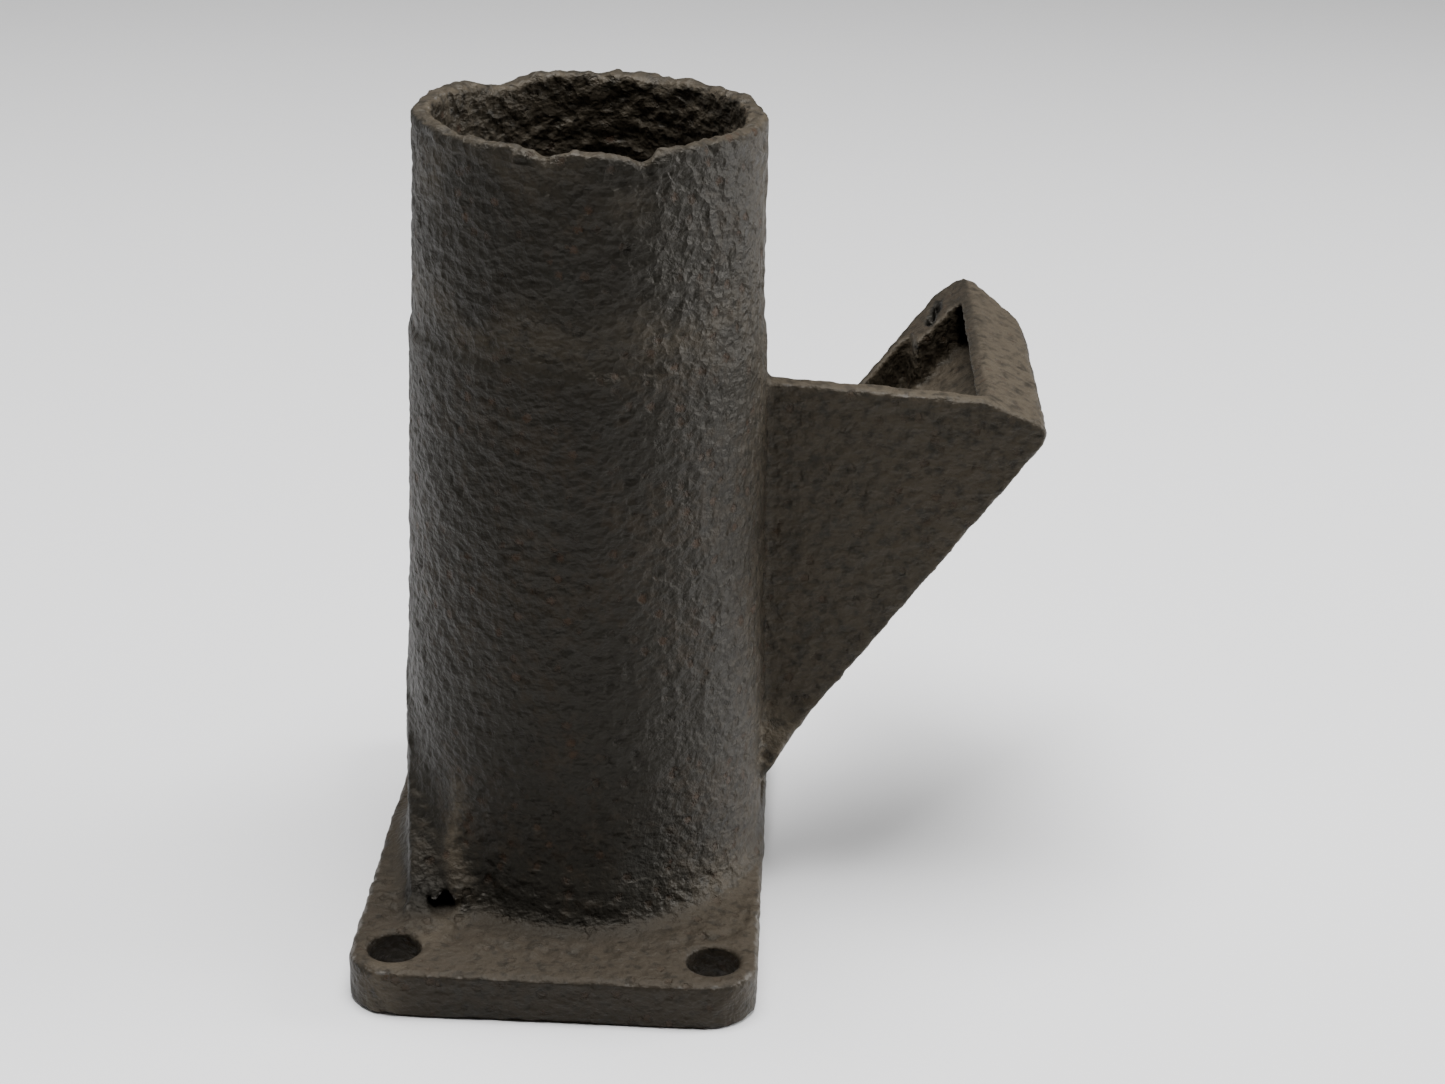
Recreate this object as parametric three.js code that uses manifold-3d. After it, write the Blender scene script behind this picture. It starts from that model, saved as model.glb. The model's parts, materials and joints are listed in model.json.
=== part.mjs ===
// Flanged pipe stub with a side arm: one grey-iron casting, laid out as its cast features.
// Millimetres, +Z up. The design axes are: X to the arm's side, Y to the back, and Z along the
// pipe, from the underside of the flange. The finished group is centred on its own base.
import * as THREE from 'three';
import { mergeVertices } from 'three/addons/utils/BufferGeometryUtils.js';
import Module from 'manifold-3d';

const wasm = await Module();
wasm.setup();

// ---- driving dimensions ----------------------------------------------------------------
const boreRadius = 34;
const roundSegments = 96;
const seam = 0.2;                       // clearance where two features meet on a slope
const curvedSeam = 0.3;                 // clearance where a flat feature meets the round pipe

const flange = { centreX: -2.2, width: 90, depth: 132.6, thickness: 11.1, cornerRadius: 10 };
const bolt = { radius: 5.85, offsetX: 35.3, offsetY: 55.4 };

const barrel = { bottomRadius: 41.9, topRadius: 39.5, top: 140 };
const foot = { top: 56, filletRadius: 8 };
// plan of the lug on the foot's front left: a bulge, a narrow valley and a ridge, fading upwards
const lugPlan = [
  [-41.6, 0], [-41, -16], [-39.2, -24.5], [-33, -28.5], [-29.5, -34], [-28, -41], [-20, -41], [0, 0],
];
const lugFade = { bottomRadius: 52, top: 50 };

const spigot = { bottomRadius: 38.8, topRadius: 38.1, top: 187.6 };
// worn places in the spigot's rim: where round the pipe, how deep, and how wide
const rimDips = [
  { angle: -68, depth: 2.6, spread: 5 },
  { angle: -78, depth: 1.1, spread: 22 },
  { angle: -100, depth: 1.6, spread: 5 },
  { angle: 129, depth: 2.4, spread: 10 },
  { angle: 92, depth: 0.8, spread: 4 },
  { angle: 10, depth: 0.9, spread: 8 },
];

// the arm, seen from the front: X outwards and Z up
const armTop = { x: 30, z: 127.2 };                  // inside the pipe, where the arm's plates start
const armCrest = { x: 89.8, z: 124 };                // the web's outer top corner
const armNose = { x: 104.6, z: 117.9 };              // the outermost corner, before it is rounded
const armNoseRadius = 4;
const armRoot = { x: 43.8, z: 33 };                  // the lowest point of the web's sloping edge
const webThickness = 4.8;
const floorThickness = 4.8;
const padThickness = 2.8;
const rimSlope = 0.7;                                // drop of the tray's rim per mm towards the pipe
const trayDepth = 13.3;                              // straight down from the rim to the tray's floor

// the arm, seen from above
const armBack = 100.6;                               // the far end of the pad
const rearWall = { thickness: 3, nearX: 34, nearY: 19.6, farX: 82.6 };
// where the far corner is cut off, with a curve into the pad's outer edge
const farCut = { back: { x: 88.6, y: 100.6 }, front: { x: 98.8, y: 84.8 }, curveStart: 66, curveBend: 79 };
// front edge of the solid corner between the rear wall and the pad, in plan
const cornerFront = [[76.5, 72.7], [79.1, 71.5], [82.1, 74.3], [85.5, 81.3]];
const cornerVoids = { places: [[80.4, 80.9], [81.9, 87.6]], radius: 1.9, stretch: 1.8, depth: 3 };
const toe = { forward: 6, bottom: 32, height: 16, frontHeight: 5 };

const iron = { roughness: 0.85, metalness: 0.35 };
const tall = 400;                                    // longer than any feature, for cutting tools

// ---- solids ----------------------------------------------------------------------------
function toSolid(geometry) {
  const bare = geometry.clone();
  bare.deleteAttribute('normal');
  bare.deleteAttribute('uv');
  const merged = mergeVertices(bare, 1e-4);
  return new wasm.Manifold(new wasm.Mesh({
    numProp: 3,
    vertProperties: new Float32Array(merged.attributes.position.array),
    triVerts: new Uint32Array(merged.index.array),
  }));
}

function toGeometry(solid) {
  const data = solid.getMesh();
  const geometry = new THREE.BufferGeometry();
  geometry.setAttribute('position', new THREE.BufferAttribute(new Float32Array(data.vertProperties), 3));
  geometry.setIndex(new THREE.BufferAttribute(new Uint32Array(data.triVerts), 1));
  const flat = geometry.toNonIndexed();
  flat.computeVertexNormals();
  return flat;
}

function extrudeUp(shape, bottom, top) {
  const settings = { depth: top - bottom, bevelEnabled: false, curveSegments: 24 };
  const geometry = new THREE.ExtrudeGeometry(shape, settings);
  geometry.translate(0, 0, bottom);
  return toSolid(geometry);
}

// a plan outline, standing on the underside of the casting
function planSolid(points) {
  return extrudeUp(new THREE.Shape(points.map(([x, y]) => new THREE.Vector2(x, y))), 0, tall);
}

// an outline of X and Z, pushed from front to back
function extrudeBack(outline, front, back) {
  const shape = new THREE.Shape(outline.map((p) => new THREE.Vector2(p.x, p.z)));
  const geometry = new THREE.ExtrudeGeometry(shape, { depth: back - front, bevelEnabled: false });
  geometry.rotateX(Math.PI / 2);
  geometry.translate(0, back, 0);
  return toSolid(geometry);
}

function uprightCone(bottomRadius, topRadius, bottom, top) {
  const geometry = new THREE.CylinderGeometry(topRadius, bottomRadius, top - bottom, roundSegments);
  geometry.rotateX(Math.PI / 2);
  geometry.translate(0, 0, (top + bottom) / 2);
  return toSolid(geometry);
}

function roundedRectangle(width, depth, radius) {
  const x = width / 2;
  const y = depth / 2;
  const shape = new THREE.Shape();
  shape.moveTo(-x + radius, -y);
  shape.lineTo(x - radius, -y);
  shape.absarc(x - radius, -y + radius, radius, -Math.PI / 2, 0, false);
  shape.lineTo(x, y - radius);
  shape.absarc(x - radius, y - radius, radius, 0, Math.PI / 2, false);
  shape.lineTo(-x + radius, y);
  shape.absarc(-x + radius, y - radius, radius, Math.PI / 2, Math.PI, false);
  shape.lineTo(-x, -y + radius);
  shape.absarc(-x + radius, -y + radius, radius, Math.PI, Math.PI * 1.5, false);
  return shape;
}

function named(name, solid, colour) {
  const material = new THREE.MeshStandardMaterial({ color: colour, ...iron });
  const mesh = new THREE.Mesh(toGeometry(solid), material);
  mesh.name = name;
  return mesh;
}

// ---- pipe and base ---------------------------------------------------------------------
const bore = uprightCone(boreRadius, boreRadius, -tall, tall);

function barrelRadiusAt(z) {
  const rise = (z - flange.thickness) / (barrel.top - flange.thickness);
  return barrel.bottomRadius + rise * (barrel.topRadius - barrel.bottomRadius);
}

function makeFlange() {
  const outline = roundedRectangle(flange.width, flange.depth, flange.cornerRadius);
  let plate = extrudeUp(outline, 0, flange.thickness).translate([flange.centreX, 0, 0]);
  for (const sideX of [-1, 1]) {
    for (const sideY of [-1, 1]) {
      const hole = uprightCone(bolt.radius, bolt.radius, -tall, tall);
      const place = [flange.centreX + sideX * bolt.offsetX, sideY * bolt.offsetY, 0];
      plate = plate.subtract(hole.translate(place));
    }
  }
  return plate.subtract(bore);
}

// the foot with its lug and its fillet onto the flange, grown outwards by a margin
function footEnvelope(margin) {
  const fillet = new THREE.EllipseCurve(
    barrel.bottomRadius + foot.filletRadius + margin, flange.thickness + foot.filletRadius,
    foot.filletRadius, foot.filletRadius, -Math.PI / 2, -Math.PI, true,
  );
  const profile = [
    new THREE.Vector2(0, flange.thickness),
    ...fillet.getPoints(8),
    new THREE.Vector2(barrelRadiusAt(foot.top) + margin, foot.top),
    new THREE.Vector2(0, foot.top),
  ];
  const round = new THREE.LatheGeometry(profile, roundSegments);
  round.rotateX(Math.PI / 2);
  const overFlange = roundedRectangle(flange.width + 2 * margin, flange.depth, flange.cornerRadius);
  const limit = extrudeUp(overFlange, 0, tall).translate([flange.centreX, 0, 0]);
  const fade = uprightCone(lugFade.bottomRadius, barrelRadiusAt(lugFade.top), flange.thickness, lugFade.top);
  return toSolid(round).intersect(limit).add(planSolid(lugPlan).intersect(fade));
}

function makeBarrel() {
  return uprightCone(barrelRadiusAt(foot.top), barrel.topRadius, foot.top, barrel.top).subtract(bore);
}

// a ring whose top follows the worn rim
function makeSpigot() {
  const ring = new THREE.LatheGeometry([
    new THREE.Vector2(boreRadius, barrel.top),
    new THREE.Vector2(spigot.bottomRadius, barrel.top),
    new THREE.Vector2(spigot.topRadius, spigot.top),
    new THREE.Vector2(boreRadius, spigot.top),
    new THREE.Vector2(boreRadius, barrel.top),
  ], roundSegments);
  ring.rotateX(Math.PI / 2);
  const position = ring.attributes.position;
  for (let i = 0; i < position.count; i += 1) {
    if (position.getZ(i) > barrel.top + 1) {
      const angle = THREE.MathUtils.radToDeg(Math.atan2(position.getY(i), position.getX(i)));
      position.setZ(i, spigot.top - rimWear(angle));
    }
  }
  return toSolid(ring);
}

function rimWear(angle) {
  return rimDips.reduce((depth, dip) => {
    const away = (angle - dip.angle) / dip.spread;
    return depth + dip.depth * Math.exp(-away * away);
  }, 0);
}

// ---- arm -------------------------------------------------------------------------------
const pipeEnvelope = uprightCone(
  barrel.bottomRadius + curvedSeam, barrel.topRadius + curvedSeam, flange.thickness, barrel.top,
).add(footEnvelope(curvedSeam));

const webSlope = (armNose.z - armRoot.z) / (armNose.x - armRoot.x);
const padSlope = (armNose.z - armCrest.z) / (armNose.x - armCrest.x);

// heights of the arm's faces
const webEdgeAt = (x) => armRoot.z + (x - armRoot.x) * webSlope;
const padFaceAt = (x) => armCrest.z + (x - armCrest.x) * padSlope;
const padInnerAt = (x) => padFaceAt(x) - padThickness * Math.hypot(1, padSlope);
const rimAt = (x) => armCrest.z - (armCrest.x - x) * rimSlope;
const floorTopAt = (x) => rimAt(x) - trayDepth;
const floorUnderAt = (x) => floorTopAt(x) - floorThickness * Math.hypot(1, rimSlope);

// where the pad's inner face crosses the rim and both faces of the floor
const padInnerTopX = (padInnerAt(0) - rimAt(0)) / (rimSlope - padSlope);
const padInnerFootX = (padInnerAt(0) - floorTopAt(0)) / (rimSlope - padSlope);
const padOuterFootX = (padInnerAt(0) - floorUnderAt(0)) / (rimSlope - padSlope);

// the rounded nose, from the web's sloping edge round to the pad's face
function noseArc() {
  const startAngle = Math.atan(webSlope) - Math.PI / 2;
  const endAngle = Math.atan(padSlope) + Math.PI / 2;
  const middleAngle = (startAngle + endAngle) / 2;
  const reach = armNoseRadius / Math.cos((endAngle - startAngle) / 2);
  const arc = new THREE.EllipseCurve(
    armNose.x - reach * Math.cos(middleAngle), armNose.z - reach * Math.sin(middleAngle),
    armNoseRadius, armNoseRadius, startAngle, endAngle, false,
  );
  return arc.getPoints(8).map((p) => ({ x: p.x, z: p.y }));
}

function web() {
  const outline = [armTop, { x: armTop.x, z: webEdgeAt(armTop.x) }, ...noseArc(), armCrest];
  return extrudeBack(outline, 0, webThickness).subtract(pipeEnvelope);
}

// the tray's outer limits: in plan the rear wall's outer line and the far end, from the front the nose
function trayLimits() {
  const noseTip = Math.max(...noseArc().map((p) => p.x));
  const plan = new THREE.Shape();
  plan.moveTo(0, webThickness);
  plan.lineTo(noseTip, webThickness);
  plan.lineTo(noseTip, farCut.curveStart);
  plan.quadraticCurveTo(noseTip, farCut.curveBend, farCut.front.x, farCut.front.y);
  plan.lineTo(farCut.back.x, farCut.back.y);
  plan.lineTo(rearWall.farX, armBack);
  plan.lineTo(rearWall.nearX, rearWall.nearY);
  plan.lineTo(0, rearWall.nearY);
  const front = [{ x: 0, z: padFaceAt(0) }, { x: 0, z: webEdgeAt(0) }, ...noseArc()];
  return extrudeUp(plan, 0, tall).intersect(extrudeBack(front, 0, tall));
}

// the tray's floor, parallel to its rim
function floorPlate() {
  const outline = [
    { x: armTop.x, z: floorUnderAt(armTop.x) },
    { x: padOuterFootX, z: floorUnderAt(padOuterFootX) - seam },
    { x: padInnerFootX, z: floorTopAt(padInnerFootX) - seam },
    { x: armTop.x, z: floorTopAt(armTop.x) - seam },
  ];
  return extrudeBack(outline, webThickness, armBack + 1).intersect(trayLimits()).subtract(pipeEnvelope);
}

function endPad() {
  const outline = [
    { x: padOuterFootX, z: floorUnderAt(padOuterFootX) },
    armNose,
    armCrest,
    { x: padInnerTopX, z: rimAt(padInnerTopX) },
    { x: padInnerFootX, z: floorTopAt(padInnerFootX) },
  ];
  return extrudeBack(outline, webThickness, armBack + 1).intersect(trayLimits());
}

// the space inside the tray that its rear side may fill, under the rim and clear of the pad
function trayHeight() {
  const outline = [
    { x: 0, z: floorTopAt(0) },
    { x: padInnerFootX - seam, z: floorTopAt(padInnerFootX - seam) },
    { x: padInnerTopX - seam, z: rimAt(padInnerTopX - seam) },
    { x: 0, z: rimAt(0) },
  ];
  return extrudeBack(outline, webThickness, armBack + 1);
}

const wallRun = new THREE.Vector2(rearWall.farX - rearWall.nearX, armBack - rearWall.nearY);
const wallAcross = rearWall.thickness * wallRun.length() / wallRun.y;       // the wall's width along X
const wallInnerXAt = (y) => rearWall.nearX + wallAcross + (y - rearWall.nearY) * wallRun.x / wallRun.y;

function rearWallPlate() {
  const strip = planSolid([
    [rearWall.nearX, rearWall.nearY],
    [wallInnerXAt(rearWall.nearY), rearWall.nearY],
    [wallInnerXAt(armBack), armBack],
    [rearWall.farX, armBack],
  ]);
  return strip.intersect(trayHeight()).subtract(pipeEnvelope);
}

// solid corner between the rear wall and the pad, with a shrinkage void in its top
function cornerBlock() {
  const wallSideY = 79;
  const padSideX = 88;
  const fill = planSolid([
    [wallInnerXAt(wallSideY) + seam, wallSideY],
    ...cornerFront,
    [padSideX, 82],
    [padSideX, armBack],
    [wallInnerXAt(armBack) + seam, armBack],
  ]);
  let block = fill.intersect(trayHeight());
  for (const [x, y] of cornerVoids.places) {
    const pit = new THREE.SphereGeometry(cornerVoids.radius, 16, 10);
    pit.scale(1, cornerVoids.stretch, cornerVoids.depth / cornerVoids.radius);
    pit.translate(x, y, rimAt(x));
    block = block.subtract(toSolid(pit));
  }
  return block;
}

// spreading toe in front of the web's lowest end
function armToe() {
  const side = new THREE.Shape([
    new THREE.Vector2(0, 0),
    new THREE.Vector2(0, toe.height),
    new THREE.Vector2(-toe.forward, toe.frontHeight),
    new THREE.Vector2(-toe.forward, 0),
  ]);
  const geometry = new THREE.ExtrudeGeometry(side, { depth: tall, bevelEnabled: false });
  geometry.applyMatrix4(new THREE.Matrix4().makeBasis(
    new THREE.Vector3(0, 1, 0), new THREE.Vector3(0, 0, 1), new THREE.Vector3(1, 0, 0),
  ));
  geometry.translate(0, 0, toe.bottom);
  const aboveWebEdge = [
    { x: 0, z: webEdgeAt(0) },
    { x: armNose.x, z: webEdgeAt(armNose.x) },
    { x: 0, z: tall },
  ];
  const limit = extrudeBack(aboveWebEdge, -toe.forward - 1, 1);
  return toSolid(geometry).intersect(limit).subtract(pipeEnvelope);
}

// ---- assembly --------------------------------------------------------------------------
const casting = new THREE.Group();
casting.add(
  named('base_flange', makeFlange(), 0x4a4038),
  named('flared_foot', footEnvelope(0).subtract(bore), 0x443b34),
  named('main_barrel', makeBarrel(), 0x3f3832),
  named('upper_spigot', makeSpigot(), 0x4a4037),
  named('arm_web', web(), 0x3a3129),
  named('arm_floor', floorPlate(), 0x46392f),
  named('arm_end_pad', endPad(), 0x5a4c40),
  named('arm_rear_wall', rearWallPlate(), 0x463b32),
  named('arm_corner_block', cornerBlock(), 0x52463b),
  named('arm_toe', armToe(), 0x4e4238),
);

// origin at the middle of the casting's footprint, on its underside
const extent = new THREE.Box3().setFromObject(casting, true);
casting.position.set(-(extent.min.x + extent.max.x) / 2, -(extent.min.y + extent.max.y) / 2, -extent.min.z);

export default casting;
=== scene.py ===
"""A rough grey-iron casting: a pipe stub on a bolt-down flange, with a shallow tray as its side arm.

The whole casting is described as one distance field, so that its fillets run through without a seam.
Its surface is meshed once and then cut into the casting's named features, each a closed solid.
"""
import json
import math
from collections import Counter, defaultdict

import bpy
import numpy as np
from mathutils import Matrix, Vector
from mathutils.geometry import delaunay_2d_cdt


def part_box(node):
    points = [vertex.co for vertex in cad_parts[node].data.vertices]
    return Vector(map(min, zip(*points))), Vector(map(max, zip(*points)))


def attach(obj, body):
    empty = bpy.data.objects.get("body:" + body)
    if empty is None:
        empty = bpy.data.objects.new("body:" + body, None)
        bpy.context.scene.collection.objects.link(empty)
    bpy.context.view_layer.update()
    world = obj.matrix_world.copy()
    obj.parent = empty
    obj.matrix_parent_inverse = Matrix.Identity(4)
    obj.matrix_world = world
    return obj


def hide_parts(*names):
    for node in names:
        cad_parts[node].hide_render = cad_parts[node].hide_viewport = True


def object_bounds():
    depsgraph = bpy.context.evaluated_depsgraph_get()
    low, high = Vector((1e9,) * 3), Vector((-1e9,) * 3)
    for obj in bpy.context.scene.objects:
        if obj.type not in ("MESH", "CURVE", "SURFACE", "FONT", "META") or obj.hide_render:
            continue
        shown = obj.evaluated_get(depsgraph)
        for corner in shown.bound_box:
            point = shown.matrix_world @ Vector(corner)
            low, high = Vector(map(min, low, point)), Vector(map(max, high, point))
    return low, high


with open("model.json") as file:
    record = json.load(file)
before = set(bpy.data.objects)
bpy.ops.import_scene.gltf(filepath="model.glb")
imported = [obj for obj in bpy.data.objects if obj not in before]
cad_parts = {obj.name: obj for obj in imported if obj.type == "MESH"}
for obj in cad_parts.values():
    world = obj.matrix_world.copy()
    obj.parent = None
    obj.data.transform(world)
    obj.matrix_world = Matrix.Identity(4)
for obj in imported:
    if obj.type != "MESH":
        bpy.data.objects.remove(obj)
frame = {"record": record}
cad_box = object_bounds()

MM = 0.001
SEED = 7

# ---- sizes, in millimetres from the pipe's axis and the flange's underside ---------------------
barrel_low, barrel_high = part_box("main_barrel")
AXIS = Vector(((barrel_low.x + barrel_high.x) / 2, (barrel_low.y + barrel_high.y) / 2, 0))


def span(node):
    """A CAD node's lowest and highest corners, in millimetres from the pipe's axis."""
    low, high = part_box(node)
    return (low - AXIS) / MM, (high - AXIS) / MM


flange_low, flange_high = span("base_flange")
spigot_low, spigot_high = span("upper_spigot")
web_low, web_high = span("arm_web")
_, foot_high = span("flared_foot")
_, pad_high = span("arm_end_pad")
_, toe_high = span("arm_toe")

FLANGE_TOP = flange_high.z
FLANGE_CENTRE_X = (flange_low.x + flange_high.x) / 2
FLANGE_HALF_X = (flange_high.x - flange_low.x) / 2
FLANGE_HALF_Y = (flange_high.y - flange_low.y) / 2
FLANGE_CORNER = 10.8
TOP_EDGE = 0.7
BOTTOM_EDGE = 0.8
BOLT_RADIUS = 5.85
BOLT_X = FLANGE_HALF_X - 9.7                     # the holes' distances from the flange's middle
BOLT_Y = FLANGE_HALF_Y - 10.9

BORE_RADIUS = 34
BORE_Y = -0.8
SHOULDER = spigot_low.z
RIM = spigot_high.z
BARREL_BOTTOM_RADIUS = 41.9
BARREL_TOP_RADIUS = 39.5
SPIGOT_BOTTOM_RADIUS = (spigot_high.x - spigot_low.x) / 2
SPIGOT_TOP_RADIUS = SPIGOT_BOTTOM_RADIUS - 0.7
FOOT_FILLET = 7.5
FOOT_ZONE = (12, 28)                             # heights over which the foot spreads, from the bottom up
FOOT_FLARE = 3.2                                 # how far it spreads, at its front and at its ridge
FRONT_ANGLE = -84                                # degrees round the pipe from the arm's side
FRONT_SPREAD = 34
RIDGE_ANGLE = -130
RIDGE_HEIGHT = 1.6                               # the ridge's part above the foot
RIB_BACK = (-41.2, -6)                           # X and Y of the side rib's left face, at each end
RIB_FOOT = (-36.0, -43.5)
RIB_THICKNESS = 3.8
RIB_FILLING = 9                                  # how much thicker the rib is above its hollow
HOLLOW = (-33.5, -39)                            # X and Y of the dark hollow beside the rib

WEB_THICKNESS = web_high.y - web_low.y
CREST = np.array([89.8, pad_high.z])             # X and Z of the web's outer top corner
NOSE = np.array([pad_high.x + 2.2, 117.9])       # the outermost corner, before it is rounded
NOSE_ROUNDING = 5
ROOT = np.array([43.8, 33.0])                    # the lowest point of the web's sloping edge
WEB_TOP_SLOPE = -0.054
PLATE_THICKNESS = 4.8
PAD_THICKNESS = 2.8
RIM_SLOPE = 0.7
TRAY_DEPTH = 13.3
ARM_BACK = pad_high.y
WALL_NEAR = np.array([34.0, 19.6])               # X and Y of the rear wall's outer line
WALL_FAR = np.array([82.6, ARM_BACK])
WALL_THICKNESS = 3.0
FAR_WALL_THICKNESS = 4.0
FAR_CUT_BACK = np.array([88.0, 100.6])           # X and Y of the line that cuts the far corner
FAR_CUT_FRONT = np.array([98.6, 84.4])
FAR_CORNER = 8
BLOCK_CORNER = (75.6, 76.0)                      # X and Y on the solid far corner's two inner faces
BLOCK_FRONT = (79.0, 72.6)
VOIDS = [((80.2, 80.9, 117.8), (1.1, 3.8, 6)),   # middles and half sizes of the far corner's voids
         ((81.8, 87.0, 118.9), (1.1, 4.2, 6))]
TOE_START = (41.4, 49.0)                         # X and Z where the toe's top meets the pipe
TOE_FALL = 0.6                                   # how steeply the toe's top falls along the arm
TOE_SPREAD = 2.4                                 # and towards the front
TOE_FRONT = -6
TOE_BACK = 3
ARM_START = 25                                   # the arm's plates end inside the pipe's wall
ARM_CUT = 43.3                                   # X where the arm's pieces end, clear of the pipe
BLOCK_CUT = 69.7                                 # Y where the rear wall ends and the far corner begins
CUT_PAST = {"flange": 1.6, "web": 1.6, "pad": 1.2, "floor": 1.8}    # how far cuts clear a plate's face

# worn places in the rim: degrees round the pipe, depth and spread in degrees
RIM_DIPS = [(-68, 2.4, 4.5), (-78, 1.0, 22), (-100, 1.5, 4.5), (129, 2.3, 9), (135.5, 0.8, 2.5),
            (92, 0.8, 3.5), (65, 0.6, 5), (10, 0.9, 8), (-126, 0.4, 6)]
NEAR_RIM = 45                                    # a radius that takes in the rim but not the arm

VOXEL = 0.8
# the masks, in order: wear with painted highlights, tan film with painted light, polish with painted sheen,
# darkening with painted shade
TRAITS = ("wear_and_highlight", "film_and_light", "polish_and_sheen", "darkening_and_shade")      # what each vertex tells the iron material


# ---- distance-field tools ---------------------------------------------------------------------
def join(a, b, blend):
    """Union with a fillet: a quadratic smooth minimum."""
    overlap = np.maximum(blend - np.abs(a - b), 0) / blend
    return np.minimum(a, b) - overlap * overlap * blend / 4


def meet(a, b, blend):
    """Intersection with a rounded edge."""
    return -join(-a, -b, blend)


def cut(a, b, blend):
    """a with b taken away, and a rounded edge."""
    return meet(a, -b, blend)


def half_plane(u, v, start, end):
    """Distance from the line through start and end: positive on its right, which is outside."""
    run = np.asarray(end, float) - np.asarray(start, float)
    run /= np.hypot(*run)
    return (u - start[0]) * run[1] - (v - start[1]) * run[0]


def rounded_corner(a, b, radius):
    """Intersection of two square-on sides with a true round between them."""
    a = a + radius
    b = b + radius
    return np.hypot(np.maximum(a, 0), np.maximum(b, 0)) + np.minimum(np.maximum(a, b), 0) - radius


def smoothstep(low, high, value):
    t = np.clip((value - low) / (high - low), 0, 1)
    return t * t * (3 - 2 * t)


def bell(value, centre, spread):
    return np.exp(-(((value - centre) / spread) ** 2))


def hashed(i, j, k, seed):
    """A repeatable random number from 0 to 1 for each whole-number lattice point."""
    h = i.astype(np.uint32) * np.uint32(374761393) + j.astype(np.uint32) * np.uint32(668265263)
    h = h + k.astype(np.uint32) * np.uint32(2246822519) + np.uint32(seed * 3266489917 & 0xFFFFFFFF)
    h = (h ^ (h >> np.uint32(13))) * np.uint32(1274126177)
    h = (h ^ (h >> np.uint32(16))) * np.uint32(2654435761)
    return (h ^ (h >> np.uint32(15))).astype(np.float64) / 4294967295.0


def noise(points, size, seed, stretch=(1, 1, 1)):
    """Smooth value noise from -1 to 1, with bumps about size millimetres across."""
    p = points / (size * np.asarray(stretch, float))
    base = np.floor(p)
    f = p - base
    f = f * f * (3 - 2 * f)
    cell = base.astype(np.int64)
    total = np.zeros(len(p))
    for di in (0, 1):
        wi = f[:, 0] if di else 1 - f[:, 0]
        for dj in (0, 1):
            wj = f[:, 1] if dj else 1 - f[:, 1]
            for dk in (0, 1):
                wk = f[:, 2] if dk else 1 - f[:, 2]
                total += wi * wj * wk * hashed(cell[:, 0] + di, cell[:, 1] + dj, cell[:, 2] + dk, seed)
    return total * 2 - 1


def pits(points, size, seed, share, radius):
    """Round pits scattered through space: 1 at a pit's middle and 0 outside it."""
    p = points / size
    base = np.floor(p).astype(np.int64)
    depth = np.zeros(len(p))
    for di in (-1, 0, 1):
        for dj in (-1, 0, 1):
            for dk in (-1, 0, 1):
                i, j, k = base[:, 0] + di, base[:, 1] + dj, base[:, 2] + dk
                away = (p[:, 0] - i - hashed(i, j, k, seed)) ** 2
                away += (p[:, 1] - j - hashed(i, j, k, seed + 1)) ** 2
                away += (p[:, 2] - k - hashed(i, j, k, seed + 2)) ** 2
                there = hashed(i, j, k, seed + 3) < share
                depth = np.maximum(depth, np.where(there, np.clip(1 - away / radius**2, 0, 1), 0))
    return depth


# ---- the casting's shape ----------------------------------------------------------------------
def outline_of_flange(x, y):
    past_side = np.abs(x - FLANGE_CENTRE_X) - FLANGE_HALF_X
    return rounded_corner(past_side, np.abs(y) - FLANGE_HALF_Y, FLANGE_CORNER)


def flange_shape(x, y, z):
    side = outline_of_flange(x, y)
    return meet(meet(side, z - FLANGE_TOP, TOP_EDGE), -z, BOTTOM_EDGE)


def bolt_holes(x, y):
    to_hole = np.hypot(np.abs(x - FLANGE_CENTRE_X) - BOLT_X, np.abs(y) - BOLT_Y)
    return to_hole - BOLT_RADIUS


def pipe_radius(angle, z):
    """The pipe's outer radius: its draft, the shoulder, and the swellings round its foot."""
    draft = (z - FLANGE_TOP) / (SHOULDER - FLANGE_TOP)
    barrel = BARREL_BOTTOM_RADIUS + draft * (BARREL_TOP_RADIUS - BARREL_BOTTOM_RADIUS)
    rise = (z - SHOULDER) / (RIM - SHOULDER)
    spigot = SPIGOT_BOTTOM_RADIUS + rise * (SPIGOT_TOP_RADIUS - SPIGOT_BOTTOM_RADIUS)
    upper = smoothstep(SHOULDER - 1.2, SHOULDER + 1.6, z)
    radius = barrel * (1 - upper) + spigot * upper
    low = 1 - smoothstep(*FOOT_ZONE, z)
    ridge_height = RIDGE_HEIGHT * (1 - smoothstep(18, 42, z)) + FOOT_FLARE * low
    ridge = ridge_height * bell(angle, RIDGE_ANGLE + 9 * low, 4.2)
    front_flare = FOOT_FLARE * bell(angle, FRONT_ANGLE, FRONT_SPREAD) * low
    return radius + ridge + front_flare


def rim_height(angle):
    height = np.full_like(angle, RIM)
    for middle, depth, spread in RIM_DIPS:
        height = height - depth * bell(angle, middle, spread)
    return height


def pipe_shape(x, y, z):
    angle = np.degrees(np.arctan2(y, x))
    rho = np.hypot(x, y)
    wall = rho - pipe_radius(angle, z)
    return meet(wall, z - rim_height(angle), 1.5)


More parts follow.
